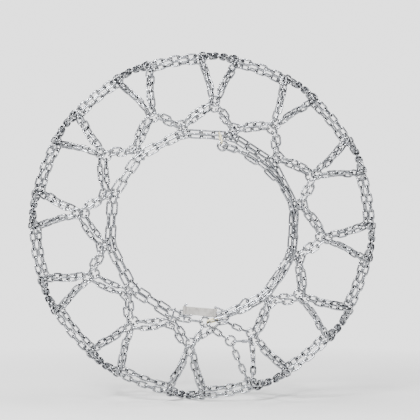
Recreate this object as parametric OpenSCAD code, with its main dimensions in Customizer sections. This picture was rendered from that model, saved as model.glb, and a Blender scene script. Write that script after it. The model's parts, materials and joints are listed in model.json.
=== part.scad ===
// Net-type tire snow chain, in the shape it takes when it is fitted on the tire.
// Frame: origin at the centre of the wheel, +Y along the axle towards the vehicle, +Z up.
// The outer side of the chain faces -Y.

/* [Tire that the chain fits] */
// Radius of the chain's middle surface over the centre of the tread
crown_r = 504; // [500:1:510]
// Radius of the cross arc of the tread
crown_arc = 640; // [620:5:660]
// Radius of the shoulder between tread and sidewall
shoulder_arc = 85; // [84:1:88]
// Radius of the sidewall's bulge
sidewall_arc = 300; // [290:5:320]

/* [Chain] */
// Wire radius of the links
wire_r = 2.8; // [2.7:0.05:2.85]
// Radius of a link's rounded ends, at the middle of the wire
bow_r = 7; // [6.95:0.05:7.2]
// Play between two links that hold each other
play = 1; // [0.9:0.05:1.1]
// Spacing of the links in the net
net_pitch = 23.6; // [23.4:0.1:23.8]
// Spacing of the long links in the side chains
side_pitch = 35.8; // [35.6:0.1:36]
// Roll of the hooked links where the side chain is twisted
twisted_roll = -35; // [-40:1:-30]
// Roll of the hooked links where it isn't
upright_roll = -80; // [-85:1:-75]

/* [Rings] */
// Radius of a ring at the middle of its wire
ring_r = 14; // [13.8:0.1:14.4]
// Wire radius of a ring
ring_wire_r = 3; // [2.8:0.1:3.1]

/* [Hooks and closure] */
// Wire radius of the hooks
hook_wire_r = 2.6; // [2.4:0.1:2.7]
// Radius of a connecting hook's rounded ends, at the middle of the wire
hook_bow_r = 7.4; // [7.2:0.1:7.6]
// Turn of the turned connecting hooks about their own length
hook_turn = 30; // [0:5:30]
// Radius of the deflection ring's place
deflection_r = 238; // [237:0.5:239]
// Width of the elastic strap
strap_w = 23; // [18:0.5:24]
// Thickness of the elastic strap
strap_t = 3; // [2:0.1:3.2]

/* [Net pattern] */
// Angle of the first sidewall ring
first_angle = -5.7; // [-6:0.1:-5]
// Half of the angle between the two shoulder rings of one cell
shoulder_spread = 6.86; // [6.8:0.01:6.9]
// Distance of a shoulder ring from the centre of the tread, along the surface
shoulder_reach = 100.5; // [100:0.5:101]
// Distance of a sidewall ring from the centre of the tread, along the surface
sidewall_reach = 256; // [255:0.5:257]
// Radius at which the hooked links of the side chain sit
side_r = 274.3; // [273:0.1:275]

/* [Hidden] */
$fn = 32;
cells = 12;
cell_angle = 360 / cells;
deg = 180 / PI;

// Profile of the chain's middle surface: three arcs, each tangent to the next.
crown_end = 7;
shoulder_end = 72;
shoulder_c = [crown_r - crown_arc + (crown_arc - shoulder_arc) * cos(crown_end),
    (crown_arc - shoulder_arc) * sin(crown_end)];
sidewall_c = shoulder_c + (shoulder_arc - sidewall_arc) * [cos(shoulder_end), sin(shoulder_end)];
crown_len = crown_arc * crown_end / deg;
shoulder_len = crown_len + shoulder_arc * (shoulder_end - crown_end) / deg;

// Slope, radius and width of the profile at a distance s from the centre of the tread.
function slope(s) =
    s < crown_len ? s / crown_arc * deg :
    s < shoulder_len ? crown_end + (s - crown_len) / shoulder_arc * deg :
    shoulder_end + (s - shoulder_len) / sidewall_arc * deg;
function radius(s) =
    let (t = slope(s))
    s < crown_len ? crown_r - crown_arc * (1 - cos(t)) :
    s < shoulder_len ? shoulder_c[0] + shoulder_arc * cos(t) :
    sidewall_c[0] + sidewall_arc * cos(t);
function width(s) =
    let (t = slope(s))
    s < crown_len ? crown_arc * sin(t) :
    s < shoulder_len ? shoulder_c[1] + shoulder_arc * sin(t) :
    sidewall_c[1] + sidewall_arc * sin(t);
// Distance along the profile at which the sidewall has radius r, inside its widest point.
function reach_at(r) =
    shoulder_len + sidewall_arc * (acos((r - sidewall_c[0]) / sidewall_arc) - shoulder_end) / deg;

// A point of the outer side, and the three directions there: out of the surface, round the wheel
// and away from the centre of the tread.
function spot(ang, s) = [radius(s) * cos(ang), -width(s), radius(s) * sin(ang)];
function out(ang, s) = [cos(slope(s)) * cos(ang), -sin(slope(s)), cos(slope(s)) * sin(ang)];
function round_way(ang) = [-sin(ang), 0, cos(ang)];
function down_way(ang, s) = [-sin(slope(s)) * cos(ang), -cos(slope(s)), -sin(slope(s)) * sin(ang)];

function unit(v) = v / norm(v);
function flip(v) = [v[0], -v[1], v[2]];
function mix(a, b, t) = a + (b - a) * t;

// A placed piece is [middle, long direction, broad direction, spacing].
function link_at(p, q, up, roll) =
    let (u = unit(q - p), flat = unit(cross(up, u)), over = cross(u, flat))
    [(p + q) / 2, u, cos(roll) * flat + sin(roll) * over, norm(q - p)];
function flipped(piece) = [flip(piece[0]), flip(piece[1]), flip(piece[2]), piece[3]];
function both_sides(pieces) = [for (p = pieces) each [p, flipped(p)]];

// Roll step that brings n links from one flat ring to the next, with the half turn spread evenly.
function roll_step(n) = n % 2 == 1 ? 90 : 90 * n / (n + 1);
// Links along a list of joint points, with the surface direction at each.
function chain(points, ups, first, step) =
    [for (i = [0 : len(points) - 2])
        link_at(points[i], points[i + 1], unit(ups[i] + ups[i + 1]), first + step * i)];

// How far the middle of a link's end lies beyond its joint point.
hold = wire_r + play / 2;
// Where a wire's middle is q and a link comes from next, the joint point of that link.
function held(q, next, held_wire) = q + (held_wire + play / 2) * unit(q - next);
// Point of a ring or bow of radius r round a middle, in direction psi from the way round the wheel.
function on_ring(middle, place, r, psi) =
    middle + r * (cos(psi) * round_way(place[0]) + sin(psi) * down_way(place[0], place[1]));
// Surface coordinates of the place at distance d in direction psi.
function beside(place, d, psi) = place + d * [cos(psi) / radius(place[1]) * deg, sin(psi)];

// Strand of n links over the surface from one ring or bow to another. An end is
// [middle, place, radius, wire radius, direction].
function strand_between(from, to, n) =
    let (
        a = beside(from[1], from[2] - from[3] - play / 2, from[4]),
        b = beside(to[1], to[2] - to[3] - play / 2, to[4]),
        way = [for (i = [0 : n]) mix(a, b, i / n)],
        inner = [for (i = [0 : n]) spot(way[i][0], way[i][1])],
        points = [for (i = [0 : n])
            i == 0 ? held(on_ring(from[0], from[1], from[2], from[4]), inner[1], from[3]) :
            i == n ? held(on_ring(to[0], to[1], to[2], to[4]), inner[n - 1], to[3]) : inner[i]]
    )
    chain(points, [for (w = way) out(w[0], w[1])], roll_step(n), roll_step(n));
function ring_end(place, psi) = [spot(place[0], place[1]), place, ring_r, ring_wire_r, psi];
function strand(from, psi_from, to, psi_to, n) =
    strand_between(ring_end(from, psi_from), ring_end(to, psi_to), n);

// Places of the rings.
function ring_angle(k) = first_angle + cell_angle * k;
function sidewall_place(k) = [ring_angle(k), sidewall_reach];
function shoulder_place(k, side) = [ring_angle(k) + side * shoulder_spread, shoulder_reach];
function ring_at(place) =
    [spot(place[0], place[1]), round_way(place[0]), down_way(place[0], place[1]), 0];

// Directions in which the strands leave their rings, measured from the way round the wheel.
leg_angle = 28;
function angle_to(from, to) =
    let (r = (radius(from[1]) + radius(to[1])) / 2)
    atan2(to[1] - from[1], (to[0] - from[0]) / deg * r);

module link(spacing) {
    a = round(100 * (spacing / 2 + hold - bow_r)) / 100;
    for (side = [-1, 1]) {
        translate([side * a, 0, 0])
            rotate([0, 0, side * 90 - 180])
                rotate_extrude(angle = 180)
                    translate([bow_r, 0])
                        circle(wire_r);
        translate([-a, side * bow_r, 0])
            rotate([0, 90, 0])
                cylinder(r = wire_r, h = 2 * a);
    }
}

module ring() {
    rotate_extrude()
        translate([ring_r, 0])
            circle(ring_wire_r);
}

module put(piece) {
    u = piece[1];
    w = piece[2];
    v = cross(u, w);
    m = piece[0];
    multmatrix([[u[0], w[0], v[0], m[0]], [u[1], w[1], v[1], m[1]], [u[2], w[2], v[2], m[2]]])
        children();
}

module links(pieces) {
    for (p = pieces)
        put(p) link(p[3]);
}

module rings(pieces) {
    for (p = pieces)
        put(p) ring();
}

// Leg over the shoulder, on one side of the sidewall ring.
function shoulder_leg(k, side) =
    strand(sidewall_place(k), 270 + side * leg_angle,
        shoulder_place(k, side), angle_to(shoulder_place(k, side), sidewall_place(k)), 6);
// Diagonals from the middle ring to the shoulder rings.
function diagonals(k) = [for (side = [-1, 1])
    let (m = [ring_angle(k), 0], t = shoulder_place(k, side), psi = angle_to(m, t)) each
    strand(m, psi, t, psi + 180, 4)];
// Track strands from one cell to the next.
function track(k) = strand(shoulder_place(k, 1), 0, shoulder_place(k + 1, -1), 180, 5);

// The strand from one sidewall ring to the next, with the link that the hook holds.
v_r = 302;
v_shift = 2.55;
v_reach = reach_at(v_r);
function v_angle(k) = ring_angle(k) + cell_angle / 2 + v_shift;
v_half = net_pitch / 2 + hold - bow_r;
function v_link(k) =
    let (a = v_angle(k), c = spot(a, v_reach), t = round_way(a))
    [c, t, down_way(a, v_reach), net_pitch];
function v_leg(k, side, n) =
    let (
        a = v_angle(k),
        bow = v_link(k)[0] + side * v_half * v_link(k)[1],
        bow_place = [a + side * v_half / v_r * deg, v_reach],
        place = sidewall_place(side < 0 ? k : k + 1)
    )
    strand_between(ring_end(place, angle_to(place, bow_place)),
        [bow, bow_place, bow_r, wire_r, angle_to(bow_place, place)], n);
function v_strand(k) = concat(v_leg(k, -1, 4), v_leg(k, 1, 3));

// Side chain: a link at each hook, and three straight links from one hook to the next.
side_reach = reach_at(side_r);
upright_cells = [4, 5, 7, 8];
function side_roll(k) = len(search(k % cells, upright_cells)) > 0 ? upright_roll : twisted_roll;
function hook_link(k) =
    let (a = v_angle(k), c = spot(a, side_reach), t = round_way(a))
    link_at(c - side_pitch / 2 * t, c + side_pitch / 2 * t, out(a, side_reach), side_roll(k));
function side_run(k) =
    let (
        p = hook_link(k)[0] + side_pitch / 2 * hook_link(k)[1],
        q = hook_link(k + 1)[0] - side_pitch / 2 * hook_link(k + 1)[1],
        up = out(v_angle(k) + cell_angle / 2, side_reach),
        step = 90 + (side_roll(k + 1) - side_roll(k)) / 4
    )
    [for (i = [0 : 2])
        link_at(mix(p, q, i / 3), mix(p, q, (i + 1) / 3), up, side_roll(k) + step * (i + 1))];

// The cell at the bottom in which the outer side chain is closed.
closing_cell = 9;
ks = [0 : cells - 1];
open_ks = [for (k = ks) if (k != closing_cell) k];
function polar(r, ang) = [ang, reach_at(r)];
function place_spot(place) = spot(place[0], place[1]);
function place_out(place) = out(place[0], place[1]);
function direction_to(place, p) =
    let (v = p - place_spot(place))
    atan2(v * down_way(place[0], place[1]), v * round_way(place[0]));

// Ring that ends the outer side chain, and ring that ends the net.
closing_ring_place = polar(277.6, 271.65);
end_ring_place = polar(340.6, 283.9);
function tie(from, to, n) = strand(from, angle_to(from, to), to, angle_to(to, from), n);
end_ties = concat(
    tie(sidewall_place(closing_cell), closing_ring_place, 3),
    tie(closing_ring_place, end_ring_place, 3),
    tie(end_ring_place, shoulder_place(closing_cell + 1, -1), 7));
quick_tie = tie(end_ring_place, sidewall_place(closing_cell + 1), 1)[0];

// Shallow arc that turns by turn from p to q, curving towards cross(up, q - p).
function arc_point(p, q, up, turn, f) =
    let (
        u = unit(q - p),
        v = unit(cross(up, u)),
        r = norm(q - p) / 2 / sin(turn / 2),
        b = turn * (f - 0.5)
    )
    (p + q) / 2 + r * sin(b) * u + r * (cos(turn / 2) - cos(b)) * v;

// Outer side chain to the left of the closing ring.
function hook_end(k, side) = hook_link(k)[0] + side * side_pitch / 2 * hook_link(k)[1];
left_start = hook_end(closing_cell - 1, 1);
closing_ring_middle = place_spot(closing_ring_place);
left_psi = direction_to(closing_ring_place, left_start);
left_end = held(on_ring(closing_ring_middle, closing_ring_place, ring_r, left_psi),
    left_start, ring_wire_r);
left_roll = side_roll(closing_cell - 1);
left_step = (180 - left_roll) / 3;
left_links = chain([left_start, (left_start + left_end) / 2, left_end],
    [for (i = [0 : 2]) place_out(closing_ring_place)],
    left_roll + left_step, left_step);

// To its right: the marked link, the closing hook and three long links.
closing_turn = 18;
right_end = hook_end(closing_cell + 1, -1);
right_psi = direction_to(closing_ring_place, right_end) - closing_turn / 2;
right_up = place_out(closing_ring_place);
right_hold = ring_r - ring_wire_r - play / 2;
right_start = on_ring(closing_ring_middle, closing_ring_place, right_hold, right_psi);
right_wire = on_ring(closing_ring_middle, closing_ring_place, ring_r, right_psi);
right_len = norm(right_end - right_start) * closing_turn / 2 / deg / sin(closing_turn / 2);
function right_point(d) = arc_point(right_start, right_end, right_up, closing_turn, d / right_len);
right_p = [
    held(right_wire, right_point(net_pitch), ring_wire_r),
    right_point(net_pitch),
    for (i = [3 : -1 : 0]) right_point(right_len - side_pitch * i)];
marked_roll = 70;
marked_link_place = link_at(right_p[0], right_p[1], right_up, marked_roll);
right_step = (360 + side_roll(closing_cell + 1)) / 4;
right_links = chain([for (i = [2 : 5]) right_p[i]], [for (i = [2 : 5]) right_up],
    180 + right_step, right_step);
// A lever hook's pivot is the middle of the wire it hangs on, and its tongue holds the next link.
function lever(before, p, q, after, up) =
    let (
        pivot = p + hold * unit(p - before),
        tongue = q + hold * unit(after - q),
        u = unit(tongue - pivot)
    )
    [pivot, u, unit(cross(up, u)), norm(tongue - pivot)];
closing_lever = lever(right_p[0], right_p[1], right_p[2], right_p[3], right_up);

// Inner side chain: the middle link of the closing cell's run is a lever hook.
inner_run = side_run(closing_cell);
inner_lever =
    let (l = inner_run[1])
    flipped([l[0] + (hold - side_pitch / 2) * l[1], l[1], l[2], side_pitch]);

// Connecting hook: a pulled-up open link round the net link's inner wire and the side link's outer wire.
hook_grip = wire_r + hook_wire_r + 0.3;
straight_hook_turn = 6;
turned_hooks = [0, 2, 4, 6];
function hook_at(k) =
    let (
        a = v_angle(k),
        t = round_way(a),
        net_wire = v_link(k)[0] + bow_r * v_link(k)[2],
        side_wire = hook_link(k)[0] - bow_r * hook_link(k)[2],
        u = unit(side_wire - net_wire),
        w = unit(cross(t, u)),
        turn = len(search(k, turned_hooks)) > 0 ? hook_turn : straight_hook_turn
    )
    [(net_wire + side_wire) / 2, u, cos(turn) * w + sin(turn) * t, norm(side_wire - net_wire)];

// Elastic strap: from the strap hook on the side chain to the bail of the tension chain. The two
// bars that carry it are parallel to strap_up.
strap_fall = 4.5;
strap_lift = 6.5;
strap_way = [cos(strap_lift) * cos(strap_fall), -sin(strap_lift), -cos(strap_lift) * sin(strap_fall)];
strap_up = [sin(strap_fall), 0, cos(strap_fall)];
strap_len = 88;
strap_rise = 19;
bail_len = 30;
function rim_wire(piece) =
    piece[0] + (piece[2] * [piece[0][0], 0, piece[0][2]] > 0 ? -1 : 1) * bow_r * piece[2];
strap_hook_place = [
    rim_wire(left_links[0]) - hook_bow_r * cross(strap_up, strap_way) + strap_rise * strap_up,
    strap_way, cross(strap_up, strap_way), 0];
bail_bar = strap_hook_place[0] + strap_len * strap_way;
bail_grip = 20;
bail_wire = bail_bar + bail_len * strap_way
    + bow_r * (cos(bail_grip) * strap_way + sin(bail_grip) * strap_up);

// Tension chain: from the bail up the right side to the turning link, and back to its end hook.
tension_up = [0, -1, 0];
tension_side = width(side_reach) + 3;
turning_half = side_pitch / 2 + hold - bow_r;
deflection_angle = 75.6;
function flat_spot(ang, r, side) = [r * cos(ang), -side, r * sin(ang)];
deflection_middle = flat_spot(deflection_angle, deflection_r, tension_side + turning_half);
deflection_round = round_way(deflection_angle);
deflection_out = [cos(deflection_angle), 0, sin(deflection_angle)];
// The strands pull the turning link towards the bottom of the ring's opening.
turning_pull = 0.7;
turning_middle = deflection_middle - turning_pull * deflection_round;
turning_link_place = [turning_middle, tension_up, deflection_round, side_pitch];
function turning_wire(side) =
    turning_middle - side * turning_half * tension_up - bow_r * deflection_round;
// Joint points over an arc from low to the turning link's wire on one side, bulging outwards.
function arc_links(low, side, turn, bulge, n) =
    let (
        q = turning_wire(side) + hold * deflection_round,
        flat_low = [low[0], q[1], low[2]]
    )
    [for (i = [0 : n])
        arc_point(flat_low, q, tension_up, turn, i / n)
            + [0, (1 - i / n) * (low[1] - q[1]) - 4 * bulge * i / n * (1 - i / n), 0]];
tension_count = 19;
tension_turn = 160.2;
tension_bulge = 12;
flat_link = 10;
tension_low = held(bail_wire, bail_wire + unit(strap_way + 0.4 * strap_up), hook_wire_r);
tension_points = arc_links(tension_low, 1, tension_turn, tension_bulge, tension_count);
tension_links = [for (i = [0 : tension_count - 1])
    link_at(tension_points[i], tension_points[i + 1], tension_up,
        (i >= flat_link ? 90 : 81) * (i - flat_link))];

// End hook: from the last link of the returning strand, through a flat link of the tension chain
// and round the end of the upright link next to it.
end_shank = 32;
end_hook_lean = 14;
end_hook_r = bow_r + wire_r + hook_wire_r + 0.4;
gripped = tension_links[flat_link + 1];
grip_in = (gripped[2][1] > 0 ? 1 : -1) * gripped[2];
end_hook_along = sin(end_hook_lean) * grip_in - cos(end_hook_lean) * gripped[1];
end_hook_in = cos(end_hook_lean) * grip_in + sin(end_hook_lean) * gripped[1];
end_hook_place = [
    gripped[0] - (gripped[3] / 2 + hold - bow_r) * gripped[1]
        - end_shank * end_hook_along - end_hook_r * end_hook_in,
    end_hook_along, end_hook_in, 0];
return_count = 7;
return_turn = 40;
return_low = end_hook_place[0] + hold * gripped[1];
return_points = arc_links(return_low, -1, return_turn, 0, return_count);
return_links = [for (i = [0 : return_count - 1])
    link_at(return_points[i], return_points[i + 1], tension_up, 90 * i)];

// A link round the side chain's wire carries the deflection ring.
hanger_wire = rim_wire(side_run(2)[0]);
hanger_way = unit(deflection_middle - hanger_wire);
hanger_ring_wire = deflection_middle - ring_r * unit([hanger_way[0], 0, hanger_way[2]]);
hanger_place = link_at(held(hanger_wire, hanger_ring_wire, wire_r),
    held(hanger_ring_wire, hanger_wire, ring_wire_r),
    round_way(atan2(hanger_wire[2], hanger_wire[0])), 0);

// Lever hook body: eye round the pivot, shank, a bend and a curved tongue that crosses the circle
// round the pivot at a right angle to its radius, in the direction shank_angle from the shank.
eye_r = wire_r + hook_wire_r + play;
shank_angle = 38;
tip_angle = 22;
lever_bend_r = 6;
module lever_hook(reach) {
    middle = lever_bend_r / sin(shank_angle);
    tongue_r = round(100 * (reach - middle)) / 100;
    tongue_x = round(100 * middle * cos(shank_angle)) / 100;
    bend_x = tongue_x + tongue_r - lever_bend_r;
    rotate_extrude()
        translate([eye_r, 0])
            circle(hook_wire_r);
    rotate([0, 0, -shank_angle]) {
        translate([eye_r, 0, 0])
            rotate([0, 90, 0])
                cylinder(r = hook_wire_r, h = bend_x - eye_r);
        translate([bend_x, lever_bend_r, 0])
            rotate([0, 0, -90])
                rotate_extrude(angle = 90)
                    translate([lever_bend_r, 0])
                        circle(hook_wire_r);
        translate([tongue_x, lever_bend_r, 0])
            rotate_extrude(angle = shank_angle + tip_angle)
                translate([tongue_r, 0])
                    circle(hook_wire_r);
    }
}

// Open hook along X round two wires that are distance apart, with its mouth towards +Y.
hook_wrap = 150;
module open_hook(distance) {
    a = round(100 * (distance / 2 + hook_grip - hook_bow_r)) / 100;
    translate([-a, -hook_bow_r, 0])
        rotate([0, 90, 0])
            cylinder(r = hook_wire_r, h = 2 * a);
    translate([-a, 0, 0])
        rotate([0, 0, 90])
            rotate_extrude(angle = 180)
                translate([hook_bow_r, 0])
                    circle(hook_wire_r);
    translate([a, 0, 0])
        rotate([0, 0, -90])
            rotate_extrude(angle = hook_wrap)
                translate([hook_bow_r, 0])
                    circle(hook_wire_r);
}

// Rod from p to q.
module rod(p, q, r) {
    v = q - p;
    translate(p)
        rotate([0, acos(v[2] / norm(v)), atan2(v[1], v[0])])
            cylinder(r = r, h = norm(v));
}

// End hook in the XY plane: eye round the origin, shank along X, curl towards +Y.
end_curl = 130;
module round_hook() {
    rotate_extrude()
        translate([eye_r, 0])
            circle(hook_wire_r);
    translate([eye_r, 0, 0])
        rotate([0, 90, 0])
            cylinder(r = hook_wire_r, h = end_shank - eye_r);
    translate([end_shank, end_hook_r, 0])
        rotate([0, 0, -90])
            rotate_extrude(angle = end_curl)
                translate([end_hook_r, 0])
                    circle(hook_wire_r);
}

// Strap hook: shank along Z through the strap, curled in at the bottom, bent over at the top.
top_bend_r = 6;
top_bend = 100;
shank_top = strap_w / 2 + 1;
module shank_hook() {
    translate([0, 0, -strap_rise])
        cylinder(r = hook_wire_r, h = strap_rise + shank_top);
    translate([0, hook_bow_r, -strap_rise])
        rotate([90, 0, 90])
            rotate([0, 0, 180])
                rotate_extrude(angle = hook_wrap)
                    translate([hook_bow_r, 0])
                        circle(hook_wire_r);
    translate([top_bend_r, 0, shank_top])
        rotate([90, 0, 180])
            rotate_extrude(angle = top_bend)
                translate([top_bend_r, 0])
                    circle(hook_wire_r);
}

// Bail: bar along Z, and two sides that run together into a rounded end.
module bail() {
    half = strap_w / 2 + 2 * hook_wire_r;
    for (side = [-1, 1]) {
        translate([0, 0, side * half])
            sphere(hook_wire_r);
        rod([0, 0, 0], [0, 0, side * half], hook_wire_r);
        rod([0, 0, side * half], [bail_len, 0, side * bow_r], hook_wire_r);
        translate([bail_len, 0, side * bow_r])
            sphere(hook_wire_r);
    }
    translate([bail_len, 0, 0])
        rotate([90, 0, 0])
            rotate([0, 0, -90])
                rotate_extrude(angle = 180)
                    translate([bow_r, 0])
                        circle(hook_wire_r);
}

// Strap: flat band with a moulded loop at each end.
running_gap = 0.05;
module band() {
    linear_extrude(height = strap_w, center = true)
        difference() {
            union() {
                translate([0, -strap_t / 2])
                    square([strap_len, strap_t]);
                for (x = [0, strap_len])
                    translate([x, 0])
                        circle(hook_wire_r + running_gap + strap_t);
            }
            for (x = [0, strap_len])
                translate([x, 0])
                    circle(hook_wire_r + running_gap);
        }
}

// Quick link along X: an open link whose gap is bridged by a sleeve nut that slides along it.
gap_from = 2.5;
gap_to = 11.5;
nut_len = 15;
nut_r = 5.4;
nut_middle = (gap_from + gap_to) / 2;
module open_link(spacing) {
    a = round(100 * (spacing / 2 + hold - bow_r)) / 100;
    difference() {
        link(spacing);
        translate([gap_from, bow_r - hook_wire_r - 1, -bow_r])
            cube([gap_to - gap_from, 2 * bow_r, 2 * bow_r]);
    }
}
module sleeve_nut() {
    translate([nut_middle, bow_r, 0])
        rotate([0, 90, 0])
            difference() {
                cylinder(r = nut_r, h = nut_len, center = true, $fn = 6);
                cylinder(r = wire_r + running_gap, h = nut_len + 2, center = true);
            }
}

// Rings of the net.
module sidewall_rings_outer() {
    color("silver")
        rings([for (k = ks) ring_at(sidewall_place(k))]);
}
module sidewall_rings_inner() {
    color("silver")
        rings([for (k = ks) flipped(ring_at(sidewall_place(k)))]);
}
module shoulder_rings() {
    color("silver")
        rings(both_sides([for (k = ks, side = [-1, 1]) ring_at(shoulder_place(k, side))]));
}
module middle_rings() {
    color("silver")
        rings([for (k = ks) ring_at([ring_angle(k), 0])]);
}

// Chains of the net.
module shoulder_chains_outer() {
    color("silver")
        links([for (k = ks, side = [-1, 1]) each
            k == closing_cell + 1 && side < 0 ? [] : shoulder_leg(k, side)]);
}
module shoulder_chains_inner() {
    color("silver")
        links([for (k = ks, side = [-1, 1], l = shoulder_leg(k, side)) flipped(l)]);
}
module cross_chains_outer() {
    color("silver")
        links([for (k = ks) each diagonals(k)]);
}
module cross_chains_inner() {
    color("silver")
        links([for (k = ks, l = diagonals(k)) flipped(l)]);
}
module track_chains_outer() {
    color("silver")
        links([for (k = ks) each track(k)]);
}
module track_chains_inner() {
    color("silver")
        links([for (k = ks, l = track(k)) flipped(l)]);
}
module net_links_outer() {
    color("silver")
        links([for (k = open_ks) v_link(k)]);
}
module net_links_inner() {
    color("silver")
        links([for (k = ks) flipped(v_link(k))]);
}
module v_chains_outer() {
    color("silver")
        links([for (k = open_ks) each v_strand(k)]);
}
module v_chains_inner() {
    color("silver")
        links([for (k = ks, l = v_strand(k)) flipped(l)]);
}

// Side chains and their hooks.
module side_chain_outer() {
    color("silver")
        links(concat([for (k = open_ks) hook_link(k)],
            [for (k = open_ks) if (k != closing_cell - 1) each side_run(k)],
            left_links, right_links));
}
module side_chain_inner() {
    color("silver") {
        links([for (k = ks) flipped(hook_link(k))]);
        links([for (k = open_ks, l = side_run(k)) flipped(l)]);
        links([flipped(inner_run[0]), flipped(inner_run[2])]);
    }
}
module inner_connecting_hooks() {
    color("silver")
        for (k = ks)
            put(flipped(hook_at(k))) open_hook(hook_at(k)[3]);
}
module connecting_hook(i) {
    color("silver")
        put(hook_at(open_ks[i])) open_hook(hook_at(open_ks[i])[3]);
}

// Closure.
module closing_ring() {
    color("silver")
        rings([ring_at(closing_ring_place)]);
}
module end_ring() {
    color("silver")
        rings([ring_at(end_ring_place)]);
}
module end_chains() {
    color("silver")
        links(end_ties);
}
module quick_link() {
    color("silver")
        put(quick_tie) open_link(quick_tie[3]);
}
module quick_link_nut() {
    color("silver")
        put(quick_tie) sleeve_nut();
}
module marked_link() {
    color("gold")
        links([marked_link_place]);
}
module closing_hook() {
    color("silver")
        put(closing_lever) lever_hook(closing_lever[3]);
}
module inner_closing_hook() {
    color("silver")
        put(inner_lever) lever_hook(inner_lever[3]);
}

// Tension chain.
module tension_chain() {
    color("silver")
        links(concat(tension_links, return_links));
}
module tension_end_hook() {
    color("silver")
        put(end_hook_place) round_hook();
}
module turning_link() {
    color("silver")
        links([turning_link_place]);
}
module deflection_ring() {
    color("silver")
        rings([[deflection_middle, deflection_round, deflection_out, 0]]);
}
module ring_hanger() {
    color("gold")
        links([hanger_place]);
}
module strap_bail() {
    color("silver")
        put([bail_bar, strap_way, cross(strap_up, strap_way), 0]) bail();
}
module strap() {
    color("ivory")
        put(strap_hook_place) band();
}
module strap_hook() {
    color("silver")
        put(strap_hook_place) shank_hook();
}

sidewall_rings_outer();
sidewall_rings_inner();
shoulder_rings();
middle_rings();
shoulder_chains_outer();
shoulder_chains_inner();
cross_chains_outer();
cross_chains_inner();
track_chains_outer();
track_chains_inner();
net_links_outer();
net_links_inner();
v_chains_outer();
v_chains_inner();
side_chain_outer();
side_chain_inner();
inner_connecting_hooks();
connecting_hook(0);  // connecting_hook_1
connecting_hook(1);  // connecting_hook_2
connecting_hook(2);  // connecting_hook_3
connecting_hook(3);  // connecting_hook_4
connecting_hook(4);  // connecting_hook_5
connecting_hook(5);  // connecting_hook_6
connecting_hook(6);  // connecting_hook_7
connecting_hook(7);  // connecting_hook_8
connecting_hook(8);  // connecting_hook_9
connecting_hook(9);  // connecting_hook_10
connecting_hook(10);  // connecting_hook_11
closing_ring();
end_ring();
end_chains();
quick_link();
quick_link_nut();
marked_link();
closing_hook();
inner_closing_hook();
tension_chain();
tension_end_hook();
turning_link();
deflection_ring();
ring_hanger();
strap_bail();
strap();
strap_hook();
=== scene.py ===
"""Looks of a net-type tire snow chain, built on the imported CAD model.

Every CAD link and ring is found as a loose part of its node's mesh, and a finely meshed link or ring
with its weld bead takes its place. Hooks, quick link, bail and strap keep their CAD shape.
Units are metres, in the CAD model's frame: +Y along the axle, +Z up, outer side facing -Y.
"""

import json
import math

import bpy
import numpy as np
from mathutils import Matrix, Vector

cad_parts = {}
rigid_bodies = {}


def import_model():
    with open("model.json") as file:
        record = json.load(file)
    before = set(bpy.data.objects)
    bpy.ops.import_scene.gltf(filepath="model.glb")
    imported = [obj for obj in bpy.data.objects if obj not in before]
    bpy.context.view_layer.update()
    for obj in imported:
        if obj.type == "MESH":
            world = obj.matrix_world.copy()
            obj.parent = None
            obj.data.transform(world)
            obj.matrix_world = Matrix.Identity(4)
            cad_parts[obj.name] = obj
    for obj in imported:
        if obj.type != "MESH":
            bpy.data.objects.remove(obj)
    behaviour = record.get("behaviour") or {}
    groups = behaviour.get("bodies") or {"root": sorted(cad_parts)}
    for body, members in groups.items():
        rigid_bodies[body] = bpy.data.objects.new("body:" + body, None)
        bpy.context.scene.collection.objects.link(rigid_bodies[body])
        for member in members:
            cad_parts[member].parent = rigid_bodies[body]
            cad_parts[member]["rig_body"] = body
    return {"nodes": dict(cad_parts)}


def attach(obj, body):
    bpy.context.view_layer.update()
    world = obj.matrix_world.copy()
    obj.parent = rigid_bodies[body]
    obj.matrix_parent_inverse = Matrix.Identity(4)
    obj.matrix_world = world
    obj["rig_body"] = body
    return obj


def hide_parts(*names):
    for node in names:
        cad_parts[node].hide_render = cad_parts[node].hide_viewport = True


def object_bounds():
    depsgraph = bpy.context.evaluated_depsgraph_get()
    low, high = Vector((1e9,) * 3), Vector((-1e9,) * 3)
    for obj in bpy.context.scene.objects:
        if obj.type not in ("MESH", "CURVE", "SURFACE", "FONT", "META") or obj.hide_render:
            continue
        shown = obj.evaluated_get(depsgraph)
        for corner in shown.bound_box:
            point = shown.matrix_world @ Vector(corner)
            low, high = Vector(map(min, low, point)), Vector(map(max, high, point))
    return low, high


MM = 0.001
MERGE_GRID = 0.001 * MM  # points of a CAD mesh this close together are one point
FULL_TURN = 2 * math.pi

# Chain links and rings
LINK_BOW = 7.0 * MM  # radius of a link's rounded end, at the middle of the wire
LINK_WIRE = 2.8 * MM
RING_RADIUS = 14.0 * MM
RING_WIRE = 3.0 * MM
WIRE_SPREAD = 0.012  # random share by which a link's wire is thinner
WELD_SIZE = 0.17  # how far a weld bead stands proud, as a share of the wire radius
WELD_LENGTH = 1.5 * MM
RING_RUB = 0.5  # how much a ring's inside is worn, next to 1 for a link's end
BOW_STEPS = 10
WIRE_STEPS = 14
RING_STEPS = 40
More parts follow.
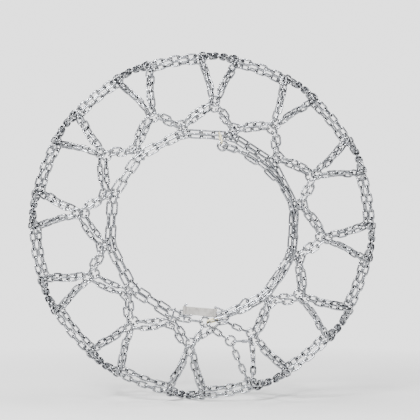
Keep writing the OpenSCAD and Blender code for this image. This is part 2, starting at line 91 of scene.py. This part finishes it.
# Stations along a link's straight side, as shares of its half length, close together at the weld
SIDE_STATIONS = np.array([1, 0.5, 0.25, 0.14, 0.07, 0, -0.07, -0.14, -0.25, -0.5, -1])
LINK_NODES = [
    "shoulder_chains_outer", "shoulder_chains_inner", "cross_chains_outer",
    "cross_chains_inner", "track_chains_outer", "track_chains_inner", "net_links_outer",
    "net_links_inner", "v_chains_outer", "v_chains_inner", "side_chain_outer",
    "side_chain_inner", "end_chains", "marked_link", "tension_chain", "turning_link",
    "ring_hanger",
]
RING_NODES = [
    "sidewall_rings_outer", "sidewall_rings_inner", "shoulder_rings", "middle_rings",
    "closing_ring", "end_ring", "deflection_ring",
]
YELLOW_NODES = ["marked_link", "ring_hanger"]
STRAP_NODE = "strap"
BEVELLED_NODES = {"quick_link_nut": 0.5 * MM, "quick_link": 0.3 * MM, "strap": 0.6 * MM}
SEAM_GAP = 0.002 * MM
BEVEL_STEPS = 3
BEVEL_ANGLE = math.radians(35)

rng = np.random.default_rng(12)
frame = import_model()
cad_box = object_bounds()


# ---------------------------------------------------------------- loose parts of a CAD node

def loose_parts(obj):
    """(points, triangles) of each connected part of obj's mesh.

    Each point takes the lowest label of its triangles, again and again, until none changes.
    """
    mesh = obj.data
    mesh.calc_loop_triangles()
    points = np.empty(len(mesh.vertices) * 3)
    mesh.vertices.foreach_get("co", points)
    points = points.reshape(-1, 3)
    triangles = np.empty(len(mesh.loop_triangles) * 3, np.int64)
    mesh.loop_triangles.foreach_get("vertices", triangles)
    _, first, merged = np.unique(
        np.round(points / MERGE_GRID).astype(np.int64), axis=0,
        return_index=True, return_inverse=True,
    )
    triangles = merged.reshape(-1)[triangles].reshape(-1, 3)
    points = points[first]
    label = np.arange(len(points))
    while True:
        lowest = label[triangles].min(axis=1)
        before = label.copy()
        for corner in range(3):
            np.minimum.at(label, triangles[:, corner], lowest)
        label = label[label]
        if (label == before).all():
            break
    order = np.argsort(label[triangles[:, 0]], kind="stable")
    sorted_triangles = triangles[order]
    keys = label[sorted_triangles[:, 0]]
    cuts = np.flatnonzero(np.diff(keys)) + 1
    return [(points, part) for part in np.split(sorted_triangles, cuts)]


def placement(points, triangles):
    """Centre, axes (rows: long, broad, normal) and half sizes of a closed part.

    The axes are those of its volume, added up over the tetrahedra from one point to each triangle:
    a tetrahedron's centre is a quarter, and its second moment a twentieth, of its corners' sums.
    """
    middle = points[triangles].mean(axis=(0, 1))
    corners = points[triangles] - middle
    a, b, c = corners[:, 0], corners[:, 1], corners[:, 2]
    volume6 = np.einsum("ij,ij->i", a, np.cross(b, c))
    total = a + b + c
    centre = (volume6[:, None] * total).sum(0) / (4 * volume6.sum())
    spread = sum(np.einsum("i,ij,ik->jk", volume6, v, v) for v in (total, a, b, c)) / 20
    spread = spread / volume6.sum() - np.outer(centre, centre)
    _, vectors = np.linalg.eigh(spread)
    axes = vectors.T[::-1].copy()
    axes[2] = np.cross(axes[0], axes[1])
    local = (corners.reshape(-1, 3) - centre) @ axes.T
    half = (local.max(axis=0) - local.min(axis=0)) / 2
    centre = centre + ((local.max(axis=0) + local.min(axis=0)) / 2) @ axes
    return middle + centre, axes, half


# ---------------------------------------------------------------- links and rings

def swept_wire(path, outward, across, radius):
    """Closed tube of round wire. All arguments have one row for each station of the path."""
    turn = np.arange(WIRE_STEPS) * FULL_TURN / WIRE_STEPS
    ring = (
        np.cos(turn)[None, :, None] * outward[:, None, :]
        + np.sin(turn)[None, :, None] * across[:, None, :]
    )
    points = path[:, None, :] + radius[:, None, None] * ring
    stations = np.arange(len(path))[:, None]
    round_wire = np.arange(WIRE_STEPS)[None, :]
    following = (stations + 1) % len(path)
    beside = (round_wire + 1) % WIRE_STEPS
    quads = np.stack([
        stations * WIRE_STEPS + round_wire,
        following * WIRE_STEPS + round_wire,
        following * WIRE_STEPS + beside,
        stations * WIRE_STEPS + beside,
    ], axis=-1)
    inner = np.clip(-np.cos(turn), 0, 1)
    return points.reshape(-1, 3), quads.reshape(-1, 4), inner


def weld_bump(distance):
    return WELD_SIZE * np.exp(-((distance / WELD_LENGTH) ** 2))


def link_shape(straight, wire, weld_side):
    """Oval link along X: points, quads and how much each point rubs on the next link."""
    bend = np.linspace(-math.pi / 2, math.pi / 2, BOW_STEPS + 1)[1:-1]
    side = SIDE_STATIONS * straight
    half = np.ones_like(side)
    x = np.concatenate([straight + LINK_BOW * np.cos(bend), side])
    y = np.concatenate([LINK_BOW * np.sin(bend), LINK_BOW * half])
    nx = np.concatenate([np.cos(bend), 0 * half])
    ny = np.concatenate([np.sin(bend), half])
    rub = np.concatenate([np.cos(bend), 0 * half])
    far = np.concatenate([0 * bend + 1, 0 * half])
    x, y = np.concatenate([x, -x]), np.concatenate([y, -y])
    nx, ny = np.concatenate([nx, -nx]), np.concatenate([ny, -ny])
    rub, far = np.concatenate([rub, rub]), np.concatenate([far, far])
    on_weld_side = (y * weld_side > LINK_BOW / 2) & (far == 0)
    radius = wire * (1 + np.where(on_weld_side, weld_bump(x), 0))
    zero = np.zeros_like(x)
    path = np.stack([x, y, zero], axis=1)
    outward = np.stack([nx, ny, zero], axis=1)
    across = np.stack([zero, zero, zero + 1], axis=1)
    points, quads, inner = swept_wire(path, outward, across, radius)
    return points, quads, (rub[:, None] * inner[None, :]).reshape(-1)


def ring_shape(ring_radius, wire, weld_angle):
    """Round ring about Z: points, quads and how much each point is rubbed."""
    angle = np.arange(RING_STEPS) * FULL_TURN / RING_STEPS
    outward = np.stack([np.cos(angle), np.sin(angle), 0 * angle], axis=1)
    across = np.stack([0 * angle, 0 * angle, 0 * angle + 1], axis=1)
    away = (angle - weld_angle + math.pi) % FULL_TURN - math.pi
    radius = wire * (1 + weld_bump(away * ring_radius))
    points, quads, inner = swept_wire(ring_radius * outward, outward, across, radius)
    return points, quads, np.tile(RING_RUB * inner, RING_STEPS)


def new_mesh(name, points, quads, attributes):
    mesh = bpy.data.meshes.new(name)
    mesh.vertices.add(len(points))
    mesh.vertices.foreach_set("co", points.astype(np.float32).ravel())
    mesh.loops.add(quads.size)
    mesh.loops.foreach_set("vertex_index", quads.astype(np.int32).ravel())
    mesh.polygons.add(len(quads))
    mesh.polygons.foreach_set("loop_start", np.arange(0, quads.size, 4, dtype=np.int32))
    mesh.update(calc_edges=True)
    mesh.validate()
    mesh.polygons.foreach_set("use_smooth", np.ones(len(mesh.polygons), bool))
    for attribute_name, values in attributes.items():
        attribute = mesh.attributes.new(attribute_name, "FLOAT", "POINT")
        attribute.data.foreach_set("value", values.astype(np.float32))
    obj = bpy.data.objects.new(name, mesh)
    bpy.context.scene.collection.objects.link(obj)
    return obj


def formed_node(node, shape_of):
    """One object for a CAD node, with a shape from shape_of(half sizes) in place of each part."""
    all_points, all_quads, rubs, tints = [], [], [], []
    count = 0
    for points, triangles in loose_parts(frame["nodes"][node]):
        centre, axes, half = placement(points, triangles)
        shape, quads, rub = shape_of(half)
        all_points.append(centre + shape @ axes)
        all_quads.append(quads + count)
        rubs.append(rub)
        tints.append(np.full(len(shape), rng.random()))
        count += len(shape)
    obj = new_mesh(
        node + "_formed", np.concatenate(all_points), np.concatenate(all_quads),
        {"rub": np.concatenate(rubs), "tint": np.concatenate(tints)},
    )
    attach(obj, frame["nodes"][node]["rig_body"])
    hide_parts(node)
    return obj


def formed_link(half):
    wire = LINK_WIRE * (1 - WIRE_SPREAD * rng.random())
    straight = half[0] - LINK_BOW - LINK_WIRE
    return link_shape(straight, wire, rng.choice([-1, 1]))


def formed_ring(half):
    ring_radius = (half[0] + half[1]) / 2 - RING_WIRE
    return ring_shape(ring_radius, RING_WIRE, rng.random() * FULL_TURN)


# ---------------------------------------------------------------- materials

# Noise scales, in features per metre
PATCHES = 90.0
SPECKS = 900.0
FINE_GRAIN = 3200.0
BLOTCHES = 70.0
RUBBER_GRAIN = 2600.0
STRAP_RIBS = 95.0

PATCH_SHARE = 0.6  # the rest of the metal's mottling is specks
DULL_FROM, DULL_TO = 0.32, 0.62  # mottling at which the metal is all dull, and all clean
TINT_SHARE = 0.35  # how much darker the dullest link is
EDGE_FROM, EDGE_TO = 0.54, 0.62  # pointiness between which an edge is worn
DULL_ROUGH = 0.12  # added to the roughness in the dull patches
WORN_SMOOTH = 0.08  # taken off it where links rub
AO_SAMPLES = 8


class Nodes:
    """Short way to build a node tree."""

    def __init__(self, material):
        material.use_nodes = True
        self.tree = material.node_tree
        self.shader = self.tree.nodes["Principled BSDF"]

    def add(self, kind, **values):
        node = self.tree.nodes.new(kind)
        for key, value in values.items():
            if key in node.inputs:
                node.inputs[key].default_value = value
            else:
                setattr(node, key, value)
        return node

    def link(self, source, target):
        self.tree.links.new(source, target)

    def feed(self, socket, value):
        if isinstance(value, (int, float, tuple)):
            socket.default_value = value
        else:
            self.link(value, socket)

    def noise(self, coordinates, scale, detail=3.0, roughness=0.5):
        node = self.add("ShaderNodeTexNoise", Scale=scale, Detail=detail, Roughness=roughness)
        self.link(coordinates, node.inputs["Vector"])
        return node.outputs["Fac"]

    def ramp(self, source, stops):
        node = self.add("ShaderNodeValToRGB")
        elements = node.color_ramp.elements
        elements[0].position, elements[0].color = stops[0]
        elements[1].position, elements[1].color = stops[-1]
        for position, color in stops[1:-1]:
            elements.new(position).color = color
        self.link(source, node.inputs["Fac"])
        return node.outputs["Color"]

    def span(self, source, low, high, to_low, to_high):
        node = self.add("ShaderNodeMapRange")
        node.inputs["From Min"].default_value = low
        node.inputs["From Max"].default_value = high
        node.inputs["To Min"].default_value = to_low
        node.inputs["To Max"].default_value = to_high
        self.link(source, node.inputs["Value"])
        return node.outputs["Result"]

    def math(self, operation, a, b):
        node = self.add("ShaderNodeMath", operation=operation)
        for socket, value in zip(node.inputs, (a, b)):
            self.feed(socket, value)
        return node.outputs["Value"]

    def mix(self, factor, a, b, blend="MIX"):
        node = self.add("ShaderNodeMix", data_type="RGBA", blend_type=blend)
        sockets = {s.name: s for s in node.inputs if s.enabled}
        for name, value in (("Factor", factor), ("A", a), ("B", b)):
            self.feed(sockets[name], value)
        return [s for s in node.outputs if s.enabled][0]


def grey(value):
    return (value, value, value, 1.0)


def metal_material(name, light, dark, worn, coat_rough, metallic, joint_shade):
    """Plated or coated steel: mottled, rough in the dull patches, worn bright where links rub, with
    painted shade darkening the colour where parts meet.
    """
    material = bpy.data.materials.new(name)
    n = Nodes(material)
    where = n.add("ShaderNodeTexCoord").outputs["Object"]
    tint = n.add("ShaderNodeAttribute", attribute_name="tint").outputs["Fac"]
    rub = n.add("ShaderNodeAttribute", attribute_name="rub").outputs["Fac"]
    patches = n.noise(where, PATCHES, 4.0, 0.6)
    specks = n.noise(where, SPECKS, 3.0, 0.65)
    fine = n.noise(where, FINE_GRAIN, 2.0, 0.6)
    mottled = n.math(
        "ADD", n.math("MULTIPLY", patches, PATCH_SHARE),
        n.math("MULTIPLY", specks, 1 - PATCH_SHARE),
    )
    color = n.ramp(mottled, [(DULL_FROM, dark), (DULL_TO, light)])
    color = n.mix(n.span(tint, 0, 1, 0.0, TINT_SHARE), color, dark)
    wear = n.math("MULTIPLY", n.span(specks, 0.35, 0.6, 0.3, 1.0), rub)
    edges = n.add("ShaderNodeNewGeometry").outputs["Pointiness"]
    wear = n.math("MAXIMUM", wear, n.span(edges, EDGE_FROM, EDGE_TO, 0.0, 0.8))
    color = n.mix(wear, color, worn)
    # Painted shade: ambient occlusion darkens the base colour in the joints, down to joint_shade
    # where parts touch.
    painted_shade_ao = n.add("ShaderNodeAmbientOcclusion", Distance=5 * MM, samples=AO_SAMPLES)
    shade = n.span(painted_shade_ao.outputs["AO"], 0.25, 0.9, joint_shade, 1.0)
    shade_color = n.ramp(shade, [(0.0, grey(0.0)), (1.0, grey(1.0))])
    color = n.mix(1.0, color, shade_color, "MULTIPLY")
    n.link(color, n.shader.inputs["Base Color"])
    n.shader.inputs["Metallic"].default_value = metallic
    rough = n.span(mottled, 0.3, 0.65, coat_rough + DULL_ROUGH, coat_rough)
    rough = n.math("SUBTRACT", rough, n.math("MULTIPLY", wear, WORN_SMOOTH))
    n.link(rough, n.shader.inputs["Roughness"])
    coarse_bump = n.add("ShaderNodeBump", Strength=0.35, Distance=0.25 * MM)
    n.link(specks, coarse_bump.inputs["Height"])
    bump = n.add("ShaderNodeBump", Strength=0.2, Distance=0.06 * MM)
    n.link(fine, bump.inputs["Height"])
    n.link(coarse_bump.outputs["Normal"], bump.inputs["Normal"])
    n.link(bump.outputs["Normal"], n.shader.inputs["Normal"])
    return material


def rubber_material(name, light, dark):
    """Pale moulded rubber: fine ribs along the strap, and painted shade darkening its colour in
    hollows and next to other parts.
    """
    material = bpy.data.materials.new(name)
    n = Nodes(material)
    where = n.add("ShaderNodeTexCoord").outputs["Object"]
    blotches = n.noise(where, BLOTCHES, 4.0, 0.6)
    grain = n.noise(where, RUBBER_GRAIN, 2.0, 0.5)
    color = n.ramp(blotches, [(0.3, dark), (0.65, light)])
    # Painted shade: ambient occlusion darkens the strap's colour in hollows and where it lies close
    # to hooks and links.
    painted_shade_ao = n.add("ShaderNodeAmbientOcclusion", Distance=6 * MM, samples=AO_SAMPLES)
    shade = n.ramp(painted_shade_ao.outputs["AO"], [(0.2, grey(0.45)), (0.8, grey(1.0))])
    color = n.mix(1.0, color, shade, "MULTIPLY")
    n.link(color, n.shader.inputs["Base Color"])
    n.link(n.span(blotches, 0.3, 0.7, 0.72, 0.55), n.shader.inputs["Roughness"])
    ribs = n.add(
        "ShaderNodeTexWave", wave_type="BANDS", bands_direction="Z", Scale=STRAP_RIBS,
        Distortion=0.4,
    )
    n.link(where, ribs.inputs["Vector"])
    rib_bump = n.add("ShaderNodeBump", Strength=0.5, Distance=0.4 * MM)
    n.link(ribs.outputs["Fac"], rib_bump.inputs["Height"])
    bump = n.add("ShaderNodeBump", Strength=0.25, Distance=0.08 * MM)
    n.link(grain, bump.inputs["Height"])
    n.link(rib_bump.outputs["Normal"], bump.inputs["Normal"])
    n.link(bump.outputs["Normal"], n.shader.inputs["Normal"])
    return material


zinc = metal_material(
    "zinc_plated_steel", light=(0.42, 0.43, 0.45, 1), dark=(0.17, 0.18, 0.20, 1),
    worn=(0.74, 0.74, 0.73, 1), coat_rough=0.18, metallic=1.0, joint_shade=0.12,
)
hook_zinc = metal_material(
    "zinc_plated_hooks", light=(0.38, 0.39, 0.42, 1), dark=(0.15, 0.16, 0.18, 1),
    worn=(0.70, 0.70, 0.69, 1), coat_rough=0.22, metallic=1.0, joint_shade=0.15,
)
yellow = metal_material(
    "yellow_marking_coat", light=(0.74, 0.68, 0.46, 1), dark=(0.56, 0.50, 0.32, 1),
    worn=(0.80, 0.80, 0.76, 1), coat_rough=0.38, metallic=0.35, joint_shade=0.4,
)
rubber = rubber_material("pale_strap_rubber", (0.30, 0.29, 0.27, 1), (0.20, 0.19, 0.18, 1))


# ---------------------------------------------------------------- the chain

for node in LINK_NODES + RING_NODES:
    obj = formed_node(node, formed_link if node in LINK_NODES else formed_ring)
    coated = node in YELLOW_NODES
    obj.data.materials.append(yellow if coated else zinc)

for node, obj in frame["nodes"].items():
    if node in LINK_NODES + RING_NODES:
        continue
    obj.data.materials.clear()
    obj.data.materials.append(rubber if node == STRAP_NODE else hook_zinc)
    if node in BEVELLED_NODES:
        weld = obj.modifiers.new("join_seams", "WELD")
        weld.merge_threshold = SEAM_GAP
        bevel = obj.modifiers.new("soft_edges", "BEVEL")
        bevel.width = BEVELLED_NODES[node]
        bevel.segments = BEVEL_STEPS
        bevel.angle_limit = BEVEL_ANGLE


# ---------------------------------------------------------------- floor, light and camera

FLOOR_SIZE = 30.0
FLOOR_GAP = 1 * MM
FADE_FROM, FADE_TO = 0.7, 2.2  # the floor fades into the backdrop over this distance
BACKDROP = (2.4, 2.4, 2.4, 1)
FLOOR_COLOR = (0.84, 0.84, 0.83, 1)
FLOOR_ROUGH = 0.7
MIRRORED_GROUND = (0.02, 0.02, 0.022, 1)
MIRRORED_SKY = (0.22, 0.225, 0.24, 1)
GROUND_TO, SKY_FROM = 0.25, 0.85  # heights between which the one turns into the other
SIDE_PLANE = -0.157  # where the outer side chain lies, along Y
CAMERA_REACH = 5.4  # camera to that plane
VIEW_WIDTH = 1.21  # what the image holds of it
VIEW_CENTRE = (0.023, 0.046)
SENSOR = 36.0


def floor():
    """Pale floor that fades into the backdrop, so that no horizon shows."""
    mesh = bpy.data.meshes.new("floor")
    z = cad_box[0][2] - FLOOR_GAP
    half = FLOOR_SIZE / 2
    corners = [(-half, -half, z), (half, -half, z), (half, half, z), (-half, half, z)]
    mesh.from_pydata(corners, [], [(0, 1, 2, 3)])
    obj = bpy.data.objects.new("floor", mesh)
    bpy.context.scene.collection.objects.link(obj)
    material = bpy.data.materials.new("pale_floor")
    n = Nodes(material)
    n.shader.inputs["Base Color"].default_value = FLOOR_COLOR
    n.shader.inputs["Roughness"].default_value = FLOOR_ROUGH
    where = n.add("ShaderNodeTexCoord").outputs["Object"]
    reach = n.add("ShaderNodeVectorMath", operation="LENGTH")
    n.link(where, reach.inputs[0])
    glow = n.add("ShaderNodeEmission", Color=BACKDROP, Strength=1.0)
    blend = n.add("ShaderNodeMixShader")
    seen = n.add("ShaderNodeLightPath").outputs["Is Camera Ray"]
    fade = n.span(reach.outputs["Value"], FADE_FROM, FADE_TO, 0.0, 1.0)
    n.link(n.math("MULTIPLY", fade, seen), blend.inputs["Fac"])
    n.link(n.shader.outputs["BSDF"], blend.inputs[1])
    n.link(glow.outputs["Emission"], blend.inputs[2])
    n.link(blend.outputs["Shader"], n.tree.nodes["Material Output"].inputs["Surface"])
    mesh.materials.append(material)


def softbox(name, place, size, power):
    """Rectangular light that faces the wheel's centre."""
    data = bpy.data.lights.new(name, "AREA")
    data.shape = "RECTANGLE"
    data.size, data.size_y = size
    data.energy = power
    obj = bpy.data.objects.new(name, data)
    obj.location = place
    obj.rotation_euler = (-Vector(place)).to_track_quat("-Z", "Y").to_euler()
    bpy.context.scene.collection.objects.link(obj)


def studio_world():
    """Pale behind the object, and darker towards the ground for what the metal mirrors."""
    world = bpy.data.worlds.new("studio")
    bpy.context.scene.world = world
    world.use_nodes = True
    tree = world.node_tree
    background = tree.nodes["Background"]
    where = tree.nodes.new("ShaderNodeTexCoord")
    split = tree.nodes.new("ShaderNodeSeparateXYZ")
    tree.links.new(where.outputs["Generated"], split.inputs["Vector"])
    ramp = tree.nodes.new("ShaderNodeValToRGB")
    ramp.color_ramp.elements[0].position = GROUND_TO
    ramp.color_ramp.elements[0].color = MIRRORED_GROUND
    ramp.color_ramp.elements[1].position = SKY_FROM
    ramp.color_ramp.elements[1].color = MIRRORED_SKY
    height = tree.nodes.new("ShaderNodeMapRange")
    height.inputs["From Min"].default_value = -1.0
    tree.links.new(split.outputs["Z"], height.inputs["Value"])
    tree.links.new(height.outputs["Result"], ramp.inputs["Fac"])
    seen = tree.nodes.new("ShaderNodeLightPath")
    mix = tree.nodes.new("ShaderNodeMix")
    mix.data_type = "RGBA"
    sockets = {s.name: s for s in mix.inputs if s.enabled}
    tree.links.new(seen.outputs["Is Camera Ray"], sockets["Factor"])
    tree.links.new(ramp.outputs["Color"], sockets["A"])
    sockets["B"].default_value = BACKDROP
    tree.links.new([s for s in mix.outputs if s.enabled][0], background.inputs["Color"])


floor()
studio_world()
softbox("key", place=(-1.8, -4.6, 2.6), size=(1.6, 1.2), power=800)
softbox("fill", place=(3.4, -3.4, 0.7), size=(1.0, 1.8), power=70)
softbox("top", place=(0.4, 0.2, 3.4), size=(2.4, 1.6), power=150)
softbox("rim", place=(-1.6, 3.8, 1.6), size=(1.6, 1.2), power=90)

camera = bpy.data.objects.new("camera", bpy.data.cameras.new("camera"))
camera.location = (VIEW_CENTRE[0], SIDE_PLANE - CAMERA_REACH, VIEW_CENTRE[1])
camera.rotation_euler = (math.radians(90), 0, 0)
camera.data.sensor_width = SENSOR
camera.data.lens = SENSOR * CAMERA_REACH / VIEW_WIDTH
bpy.context.scene.collection.objects.link(camera)
bpy.context.scene.camera = camera
